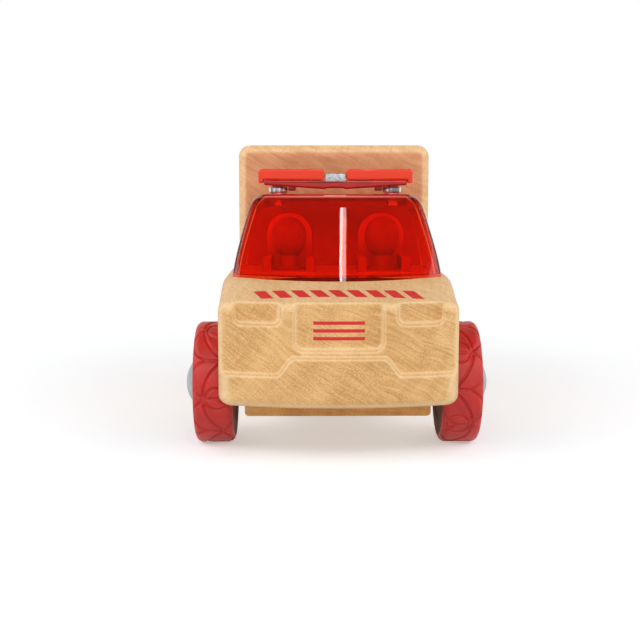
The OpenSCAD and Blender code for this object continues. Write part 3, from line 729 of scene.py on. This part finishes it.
def cab_skin(inset):
    """Rings of points for one skin of the canopy, and one middle point on its roof."""
    seam, post_r, rear_r = 0.06, 1.0 - 0.4 * inset, 0.7 - 0.2 * inset
    rings = []
    for half, front, rear, z in cab_levels(inset):
        loop = np.array(cab_outline(half, front, rear, post_r, rear_r))
        level = bonnet_height(loop[:, 0], loop[:, 1]) + seam if z is None else np.full(len(loop), z)
        rings.append(np.column_stack([loop, level]))
    # The foot goes on straight from the two rings above it
    foot, low, high = rings[:3]
    drop = (low - foot)[:, 2] / (high - low)[:, 2]
    foot[:, :2] = low[:, :2] + (low - high)[:, :2] * drop[:, None]
    top = rings[-1]
    middle = np.array([0.0, (top[:, 1].min() + top[:, 1].max()) / 2, top[0, 2]])
    for share in (0.8, 0.55, 0.3, 0.1):
        rings.append(middle + (top - middle) * [share, share, 1.0])
    return rings, middle


def canopy_mesh():
    """An outer and an inner skin that meet along the foot."""
    outer, outer_middle = cab_skin(0.0)
    inner, inner_middle = cab_skin(CAB_WALL)
    n, count = len(outer[0]), len(outer)
    verts = np.concatenate(outer + [outer_middle[None]] + inner + [inner_middle[None]])
    last = (count - 1) * n
    skin = grid_faces(count, n) + [(last + i, last + (i + 1) % n, count * n) for i in range(n)]
    start = count * n + 1
    faces = skin + [tuple(start + i for i in face) for face in flipped(skin)]
    faces += [((i + 1) % n, i, start + i, start + (i + 1) % n) for i in range(n)]
    return verts, faces


def drilled(verts, faces, holes, radius, low, high):
    """The same skin with upright round holes through it at (x, y) places."""
    def made(name, points, sides):
        mesh = bpy.data.meshes.new(name)
        mesh.from_pydata([tuple(p) for p in points], [], sides)
        obj = bpy.data.objects.new(name, mesh)
        bpy.context.scene.collection.objects.link(obj)
        return obj

    n, bits = 40, []
    circle = [(radius * math.cos(a), radius * math.sin(a)) for a in full_turn(n)]
    for x, y in holes:
        points = [(x + dx, y + dy, z) for z in (low, high) for dx, dy in circle]
        bits.append((points, grid_faces(2, n) + [tuple(range(n))[::-1], tuple(range(n, 2 * n))]))
    skin, drill = made("skin", verts, faces), made("drill", *joined(*bits))
    hole = skin.modifiers.new("hole", "BOOLEAN")
    hole.operation = "DIFFERENCE"
    hole.solver = "EXACT"
    hole.object = drill
    result = bpy.data.meshes.new_from_object(skin.evaluated_get(bpy.context.evaluated_depsgraph_get()))
    out = [tuple(v.co) for v in result.vertices], [tuple(p.vertices) for p in result.polygons]
    for obj in (skin, drill):
        mesh = obj.data
        bpy.data.objects.remove(obj)
        bpy.data.meshes.remove(mesh)
    bpy.data.meshes.remove(result)
    return out


def canopy():
    """The canopy with holes for the light bar's feet, and tabs that reach into the deck."""
    foot_holes = [(-FOOT_X, BAR_Y), (FOOT_X, BAR_Y)]
    drill_low, drill_high, overlap = 45.0, 55.0, 0.05
    parts = [drilled(*canopy_mesh(), foot_holes, FOOT_HOLE_R, drill_low, drill_high)]
    low, high = DECK_Z - TAB_DEEP, DECK_Z + overlap
    for x in (-TAB_X, TAB_X):
        x0, x1 = x - TAB_HALF, x + TAB_HALF
        tab = [(x0, low), (x1, low), (x1, high), (x0, high)]
        for tab_y in TAB_YS:
            parts.append(soft_prism(tab, tab_y - TAB_LONG, tab_y + TAB_LONG, 0.12, 0.2))
    add_piece("cab_canopy", *joined(*parts), "clear_red", "cab", "clear_red", "canopy", sharp=50.0)


def passenger(hand):
    """A peg figure with a round foot, a neck and an oval head, on the floor of its seat."""
    low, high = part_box("passenger_" + hand)
    cx, cy = (low.x + high.x) / 2 / MM, (low.y + high.y) / 2 / MM
    seat_floor = CAD_DECK_Z + 0.62
    head_half, head_rise, neck_top = 3.8, 4.4, 2.4
    foot = [(0.0, -3.0), (1.2, -3.0), (1.2, 0.0), (3.3, 0.0), (3.35, 0.1), (3.3, 0.42), (3.1, 0.55)]
    neck = [(2.2, 0.6), (2.02, 0.85), (2.0, 2.2)]
    turns = np.linspace(-math.pi / 2 + 0.52, math.pi / 2, 22)
    head = [(head_half * math.cos(a), neck_top + head_rise + head_rise * math.sin(a)) for a in turns]
    head[-1] = (0.0, head[-1][1])
    outline = [(r, seat_floor + z) for r, z in foot + neck + head]
    name = "cab_passenger_" + hand
    add_piece(name, *turned(cx, cy, outline), "peg_red", "body", "cab_red", "passenger_" + hand)


canopy()
for hand, _ in HANDS:
    bevelled("cab_seat_" + hand, "seat_" + hand, 0.8, "seat_red", "body", segments=5)
    passenger(hand)


# Light bar, with its outlines as (x, z), or as (radius, height) for the feet
def bar_plate():
    """A plate with a shallow keel and, under each side, a small lug and a pad on the foot."""
    end, keel, keel_edge = 15.64, 1.7, 2.2
    right = [(keel, 52.34), (keel_edge, 52.12), (end, 53.0), (end, 54.2), (2.3, 54.0)]
    plate = [(-x, z) for x, z in (right[2], right[1], right[0])] + right
    plate += [(-x, z) for x, z in (right[4], right[3])]
    parts = [soft_prism(plate, BAR_FRONT, BAR_BACK, 0.5, 0.6)]
    for _, side in HANDS:
        lug = sorted((side * 8.6, side * 10.3))
        parts.append(soft_box(*lug, 51.75, 53.2, 1.5, 0.2, 0.4))
        pad = sorted((side * (FOOT_X - 1.3), side * (FOOT_X + 1.3)))
        parts.append(soft_box(*pad, 52.62, 53.3, 1.3, 0.1, 0.2))
    add_piece("bar_plate", *joined(*parts), "plate", "lightbar", "plate_red", "lightbar_base", sharp=50.0)


def bar_middle():
    """The block between the lenses, which stands a little proud of them."""
    proud = 0.04
    outline = [(-2.34, 53.7), (2.34, 53.7), (2.2, 54.5), (2.1, 55.5), (-2.1, 55.5), (-2.2, 54.5)]
    block = soft_prism(outline, BAR_FRONT - proud, BAR_BACK + proud, 0.25, 0.35)
    add_piece("bar_middle", *block, "bar_silver", "lightbar", "silver_plastic", "lightbar_middle", sharp=50.0)


def bar_lens(hand, side):
    """A lens that stands on the plate and hooks over its end."""
    inner, hook, outer, foot, top = 2.36, 15.7, 16.78, 53.45, 56.5
    outline = [(inner, 54.05), (hook, 54.24), (hook, foot), (outer, foot), (outer, top), (inner, top)]
    if side < 0:
        outline = [(-x, z) for x, z in reversed(outline)]
    lens = soft_prism(outline, BAR_FRONT, BAR_BACK, 0.35, 0.9)
    add_piece("bar_lens_" + hand, *lens, "lens", "lightbar", "lens_red", "lightbar_lens_" + hand, sharp=50.0)


def bar_foot(hand, side):
    """A turned disc with a plug in the roof below it and a stub in the plate above it."""
    plug = [(0.0, 49.3), (1.2, 49.3), (1.2, 51.2)]
    disc = [(1.6, 51.2), (1.85, 51.3), (2.0, 51.5), (2.05, 51.75), (2.05, 52.4), (1.95, 52.58)]
    stub = [(0.9, 52.6), (0.9, 53.3), (0.0, 53.3)]
    foot = turned(side * FOOT_X, BAR_Y, plug + disc + stub)
    add_piece("bar_foot_" + hand, *foot, "bright", "lightbar", "bright_metal", "lightbar_foot_" + hand)


bar_plate()
bar_middle()
for hand, side in HANDS:
    bar_lens(hand, side)
    bar_foot(hand, side)


# Wheels, with their outlines as (radius, distance from the toy's middle)
def tread(angle, out):
    """Depth of the tread's grooves: thin rings and arcs that cross, repeated round the tyre.
    out is the distance from the tyre's middle, outwards."""
    pitch = 2 * math.pi * TYRE_R / TREAD_REPEATS
    along = angle * TYRE_R / pitch
    depth = np.zeros(np.broadcast(along, out).shape)
    # Each circle's offset round the tyre, offset outwards and radius
    for offset, middle, radius in ((0.0, -0.1, 4.0), (0.5, 0.3, 4.0), (0.25, -0.9, 2.25), (0.25, -7.2, 9.1)):
        d = (along - offset + 0.5) % 1.0 - 0.5
        away = np.hypot(d * pitch, out - middle) - radius
        depth = np.maximum(depth, np.clip(1 - (away / TREAD_HALF) ** 2, 0, 1))
    return TREAD_DEPTH * depth


def tyre(corner, side, axle):
    """A rubber tyre with a sunk tread, as a grid round the axle and across the profile."""
    segments, quarter = 480, math.pi / 2
    round_r, round_in, round_out = TYRE_R - TYRE_SHOULDER, TYRE_IN + TYRE_SHOULDER, TYRE_OUT - TYRE_SHOULDER
    path = [(TYRE_LIP_R, TYRE_IN + 0.05), (round_r, TYRE_IN)]
    path += arc(round_r, round_in, TYRE_SHOULDER, -quarter, 0, 11)[1:]
    path += [(TYRE_R, x) for x in np.linspace(round_in, round_out, 33)[1:]]
    path += arc(round_r, round_out, TYRE_SHOULDER, 0, quarter, 11)[1:]
    path += [(round_r - 0.3, TYRE_OUT), (9.9, TYRE_OUT), (9.66, TYRE_OUT - 0.12), (9.55, TYRE_OUT - 0.35)]
    path += [(TYRE_SEAT_R, TYRE_OUT - 1.2), (TYRE_SEAT_R, TYRE_IN + 1.2), (TYRE_LIP_R, TYRE_IN + 1.05)]
    r, x = np.array(path).T
    turn = np.array(full_turn(segments))[:, None]
    on_tread = smooth((r - (TYRE_R - 0.9)) / 0.5)
    out = x - (TYRE_IN + TYRE_OUT) / 2
    r = r - tread(turn * side + TREAD_TURN[corner], out[None, :]) * on_tread
    across = np.broadcast_to(side * x, r.shape)
    grid = np.stack([across, axle + r * np.cos(turn), AXLE_Z + r * np.sin(turn)], 2).reshape(-1, 3)
    faces = grid_faces(segments, len(x), wrap_rows=True)
    faces = faces if side > 0 else flipped(faces)
    name, body = "tyre_rubber_" + corner, "wheel_" + corner
    add_piece(name, grid, faces, "tyre", body, "tyre_red", "tyre_" + corner, sharp=60.0)


def hubcap(corner, side, axle):
    """A domed cap with a flange on the hub and a short skirt inside it."""
    low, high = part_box("hubcap_" + corner)
    crown = max(abs(low.x), abs(high.x)) / MM - DOME_DROP
    skirt = [(0.0, 28.1), (4.5, 28.1), (4.5, 26.6), (CAP_R, 26.6), (5.5, 28.0)]
    flange = [(5.75, 28.05), (5.8, 28.2), (5.8, 28.58), (5.7, 28.72)]
    dome = [(r, crown - DOME_R + math.sqrt(DOME_R ** 2 - r * r)) for r in np.linspace(CAP_R, 0.0, 18)]
    cap = skirt + flange + dome
    name, body, node = "hubcap_dome_" + corner, "wheel_" + corner, "hubcap_" + corner
    spun(name, cap, 72, axle, side, "silver", body, node, closed=False)


def wheel_hub(corner, side, axle):
    """A hub with a boss and a rim on its inner side, and a recess for the hubcap on its outer one."""
    bore, seat = 1.58, 9.48
    boss = [(bore, 19.95), (3.2, 19.95), (3.3, 20.05), (3.3, 21.1), (3.45, 21.25), (7.8, 21.25)]
    rim = [(8.05, 21.04), (11.15, 21.04), (11.28, 21.15), (11.28, 21.98)]
    barrel = [(seat, 22.0), (seat, 28.45), (9.35, 28.58)]
    recess = [(6.0, 28.58), (5.87, 28.5), (5.87, 28.02), (5.58, 27.95), (5.58, 25.15), (bore, 25.15)]
    name, body = "wheel_hub_" + corner, "wheel_" + corner
    spun(name, boss + rim + barrel + recess, 96, axle, side, "hub", body, "hub_" + corner)


for place in CORNERS:
    tyre(*place)
    hubcap(*place)
for place in CORNERS:
    wheel_hub(*place)


# CAD nodes that show as they are
def dress(node, material):
    """Gives a CAD node its material."""
    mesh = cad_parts[node].data
    mesh.materials.clear()
    mesh.materials.append(MATERIALS[material])


for node in ("chassis_screws", "front_axle", "rear_axle"):
    dress(node, "steel")
for corner, _, _ in CORNERS:
    dress("push_nut_" + corner, "steel")
    dress("washer_" + corner, "steel")
dress("locating_dowels", "plank")


# Studio, in metres
def bare_material(name):
    """An empty material, the calls that add its nodes, and the socket that its surface goes to."""
    material = bpy.data.materials.new(name)
    material.use_nodes = True
    material.node_tree.nodes.clear()
    n = Nodes(material.node_tree)
    return material, n, n.node("OutputMaterial").inputs["Surface"]


def floor_material():
    """A white floor: it keeps the shadow, and shows brighter to the camera than it lights the toy. Under
    the toy its glow is stronger and warmer, a painted light that lifts the shadow there.
    """
    material, n, surface = bare_material("studio_floor")
    spot = n.node("TexCoord").outputs["Object"]
    # Painted light: the floor glows stronger and warmer in a rectangle under the toy, lifting its shadow
    # there.
    painted_fill_area = (0.026, 0.041, 0.0)
    beyond = n.split(n.vector("SUBTRACT", n.vector("ABSOLUTE", spot), painted_fill_area))
    beyond_painted_fill = n.step(n.math("MAXIMUM", beyond[0], beyond[1]), -0.010, 0.006)
    glow = n.node("Emission", {"Color": n.mix(beyond_painted_fill, (0.53, 0.495, 0.46, 1.0), (0.35, 0.34, 0.33, 1.0))})
    shadowed = n.node("BsdfDiffuse", {"Color": (0.72, 0.75, 0.78, 1.0)})
    near = n.node("AddShader", {0: shadowed.outputs[0], 1: glow.outputs[0]})
    white = n.node("Emission")
    shown = n.blend(n.step(n.vector("LENGTH", spot), 0.08, 0.16), near, white)
    plain = n.node("BsdfDiffuse", {"Color": (0.8, 0.8, 0.8, 1.0)})
    n.put(surface, n.blend(n.seen(), plain, shown).outputs[0])
    return material


def backdrop_material():
    """A wall that is white to the camera, in reflections and through clear plastic, and lets light in."""
    material, n, surface = bare_material("studio_backdrop")
    n.put(surface, n.blend(n.seen(), n.node("BsdfTransparent"), n.node("Emission")).outputs[0])
    material.cycles.emission_sampling = "NONE"
    return material


def stage_piece(name, verts, faces, material):
    """A piece of the studio that isn't part of the toy."""
    mesh = bpy.data.meshes.new(name)
    mesh.from_pydata(verts, [], faces)
    mesh.materials.append(material)
    obj = bpy.data.objects.new(name, mesh)
    bpy.context.scene.collection.objects.link(obj)


def studio_stage():
    """A square floor, and a round wall that stands on it."""
    half, radius, height, sides = 3.0, 2.9, 1.4, 96
    square = [(-half, -half, 0), (half, -half, 0), (half, half, 0), (-half, half, 0)]
    stage_piece("studio_floor", square, [(0, 1, 2, 3)], floor_material())
    rings = [(radius * math.cos(a), radius * math.sin(a), z) for z in (0.0, height) for a in full_turn(sides)]
    stage_piece("studio_backdrop", rings, grid_faces(2, sides), backdrop_material())


def area_light(name, place, target, size, power, turn=0.0):
    """A rectangular lamp that looks at a target, turned about its line of sight by an angle in degrees."""
    data = bpy.data.lights.new(name, "AREA")
    data.shape = "RECTANGLE"
    data.size, data.size_y = size
    data.energy = power
    obj = bpy.data.objects.new(name, data)
    obj.location = place
    aim = (Vector(target) - Vector(place)).to_track_quat("-Z", "Y").to_matrix()
    obj.rotation_euler = (aim @ Matrix.Rotation(math.radians(turn), 3, "Z")).to_euler()
    bpy.context.scene.collection.objects.link(obj)


def studio_lamps():
    """Three softboxes, and a narrow strip with a glow beside it for the highlight on the windscreen."""
    body, nose, screen = (0.0, -0.02, 0.03), (0.0, -0.04, 0.03), (0.0, -0.035, 0.042)
    area_light("left_softbox", (-0.60, -0.32, 0.50), body, (0.6, 0.5), 1.8)
    area_light("right_softbox", (0.60, -0.32, 0.50), body, (0.6, 0.5), 1.55)
    area_light("front_softbox", (0.0, -0.88, 0.68), nose, (1.4, 0.5), 6.0)
    area_light("screen_strip", (0.026, -0.27, 0.55), screen, (0.008, 0.18), 0.05, turn=-8.0)
    area_light("screen_glow", (0.031, -0.27, 0.552), screen, (0.019, 0.18), 0.085, turn=-8.0)


def studio_world():
    """White light from low down, both sides and behind, with a dark gap overhead and a dim camera side."""
    world = bpy.data.worlds.new("studio_world")
    bpy.context.scene.world = world
    world.use_nodes = True
    n = Nodes(world.node_tree)
    x, y, z = n.split(n.node("TexCoord").outputs["Generated"])
    sides = n.step(n.math("ABSOLUTE", x), 0.42, 0.6)
    rear = n.step(y, 0.5, 0.75)
    low = n.step(z, 0.35, 0.6, 1.0, 0.0)
    open_sky = n.math("MAXIMUM", n.math("MAXIMUM", sides, rear), low)
    gap = n.step(open_sky, 0.0, 1.0, 0.05, 1.0)
    camera_side = n.step(y, -0.8, -0.1, 0.3, 1.0)
    background = n.tree.nodes["Background"].inputs
    n.put(background["Color"], (1.0, 1.0, 1.0, 1.0))
    n.put(background["Strength"], n.math("MULTIPLY", gap, camera_side))


def photo_camera():
    """A camera a little above the cab's roof, which looks slightly down at the nose."""
    look_down, look_aside = 7.2, -0.5
    data = bpy.data.cameras.new("photo_camera")
    data.sensor_width = 36.0
    data.lens = 65.0
    data.clip_start = 0.01
    camera = bpy.data.objects.new("photo_camera", data)
    camera.location = (-0.00556, -0.2727, 0.0554)
    camera.rotation_euler = (math.radians(90.0 - look_down), 0.0, math.radians(look_aside))
    bpy.context.scene.collection.objects.link(camera)
    bpy.context.scene.camera = camera


studio_stage()
studio_lamps()
studio_world()
photo_camera()
bpy.context.scene.view_settings.view_transform = "Standard"
